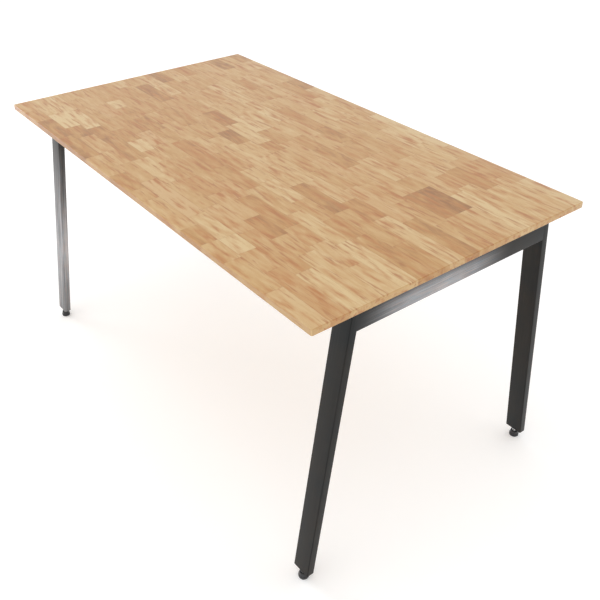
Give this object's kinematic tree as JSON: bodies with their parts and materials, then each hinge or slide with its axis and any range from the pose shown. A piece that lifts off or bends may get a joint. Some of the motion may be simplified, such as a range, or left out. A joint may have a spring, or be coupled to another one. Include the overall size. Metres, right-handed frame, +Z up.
{
  "type": "dining table",
  "caption": "Rectangular table with a finger-jointed wooden block top on two splayed flat-tube steel end frames, joined by long rails, on levelling feet.",
  "frame": {"origin": "on the floor, under the middle of the top", "axes": "+X along the table's length, +Y across it to the back, +Z up"},
  "size_m": [1.4, 0.8, 0.75],
  "materials": {
    "butcher_block": "satin lacquer over pale finger-jointed hardwood",
    "dark_steel": "satin clear coat over dark brushed steel",
    "zinc_steel": "bright zinc plate",
    "black_plastic": "moulded black nylon"
  },
  "bodies": {
    "table": {"stave_01": "butcher_block", "stave_02": "butcher_block", "stave_03": "butcher_block", "stave_04": "butcher_block", "stave_05": "butcher_block", "stave_06": "butcher_block", "stave_07": "butcher_block", "stave_08": "butcher_block", "stave_09": "butcher_block", "stave_10": "butcher_block", "stave_11": "butcher_block", "stave_12": "butcher_block", "stave_13": "butcher_block", "stave_14": "butcher_block", "stave_15": "butcher_block", "stave_16": "butcher_block", "stave_17": "butcher_block", "stave_18": "butcher_block", "right_end_rail": "dark_steel", "right_front_leg": "dark_steel", "right_back_leg": "dark_steel", "left_end_rail": "dark_steel", "left_front_leg": "dark_steel", "left_back_leg": "dark_steel", "front_long_rail": "dark_steel", "back_long_rail": "dark_steel", "front_middle_tab": "dark_steel", "back_middle_tab": "dark_steel", "right_front_end_plate": "dark_steel", "left_front_end_plate": "dark_steel", "right_back_end_plate": "dark_steel", "left_back_end_plate": "dark_steel", "right_front_leg_end_block": "dark_steel", "right_back_leg_end_block": "dark_steel", "left_front_leg_end_block": "dark_steel", "left_back_leg_end_block": "dark_steel", "right_front_inner_bolt": "zinc_steel", "right_front_outer_bolt": "zinc_steel", "right_back_inner_bolt": "zinc_steel", "right_back_outer_bolt": "zinc_steel", "left_front_inner_bolt": "zinc_steel", "left_front_outer_bolt": "zinc_steel", "left_back_inner_bolt": "zinc_steel", "left_back_outer_bolt": "zinc_steel", "right_front_screw": "zinc_steel", "left_front_screw": "zinc_steel", "right_back_screw": "zinc_steel", "left_back_screw": "zinc_steel", "middle_front_screw": "zinc_steel", "middle_back_screw": "zinc_steel"},
    "right_front_pad": {"right_front_foot_pad": "black_plastic"},
    "right_front_stud": {"right_front_foot_stud": "zinc_steel"},
    "right_back_pad": {"right_back_foot_pad": "black_plastic"},
    "right_back_stud": {"right_back_foot_stud": "zinc_steel"},
    "left_front_pad": {"left_front_foot_pad": "black_plastic"},
    "left_front_stud": {"left_front_foot_stud": "zinc_steel"},
    "left_back_pad": {"left_back_foot_pad": "black_plastic"},
    "left_back_stud": {"left_back_foot_stud": "zinc_steel"}
  },
  "joints": [
    {"name": "right_front_foot_slide", "type": "slide", "parent": "table", "child": "right_front_pad", "axis": [0, 0, -1], "range_m": [0, 0.01]},
    {"name": "right_front_foot_turn", "type": "hinge", "parent": "right_front_pad", "child": "right_front_stud", "pos_m": [0.665, -0.38226, 0.03], "axis": [0, 0, -1], "range_deg": [0, 2880]},
    {"name": "right_back_foot_slide", "type": "slide", "parent": "table", "child": "right_back_pad", "axis": [0, 0, -1], "range_m": [0, 0.01]},
    {"name": "right_back_foot_turn", "type": "hinge", "parent": "right_back_pad", "child": "right_back_stud", "pos_m": [0.665, 0.38226, 0.03], "axis": [0, 0, -1], "range_deg": [0, 2880]},
    {"name": "left_front_foot_slide", "type": "slide", "parent": "table", "child": "left_front_pad", "axis": [0, 0, -1], "range_m": [0, 0.01]},
    {"name": "left_front_foot_turn", "type": "hinge", "parent": "left_front_pad", "child": "left_front_stud", "pos_m": [-0.665, -0.38226, 0.03], "axis": [0, 0, -1], "range_deg": [0, 2880]},
    {"name": "left_back_foot_slide", "type": "slide", "parent": "table", "child": "left_back_pad", "axis": [0, 0, -1], "range_m": [0, 0.01]},
    {"name": "left_back_foot_turn", "type": "hinge", "parent": "left_back_pad", "child": "left_back_stud", "pos_m": [-0.665, 0.38226, 0.03], "axis": [0, 0, -1], "range_deg": [0, 2880]}
  ],
  "couplings": [
    {"joint": "right_front_foot_turn", "follows": "right_front_foot_slide", "rad_per_m": 5026.5},
    {"joint": "right_back_foot_turn", "follows": "right_back_foot_slide", "rad_per_m": 5026.5},
    {"joint": "left_front_foot_turn", "follows": "left_front_foot_slide", "rad_per_m": 5026.5},
    {"joint": "left_back_foot_turn", "follows": "left_back_foot_slide", "rad_per_m": 5026.5}
  ]
}
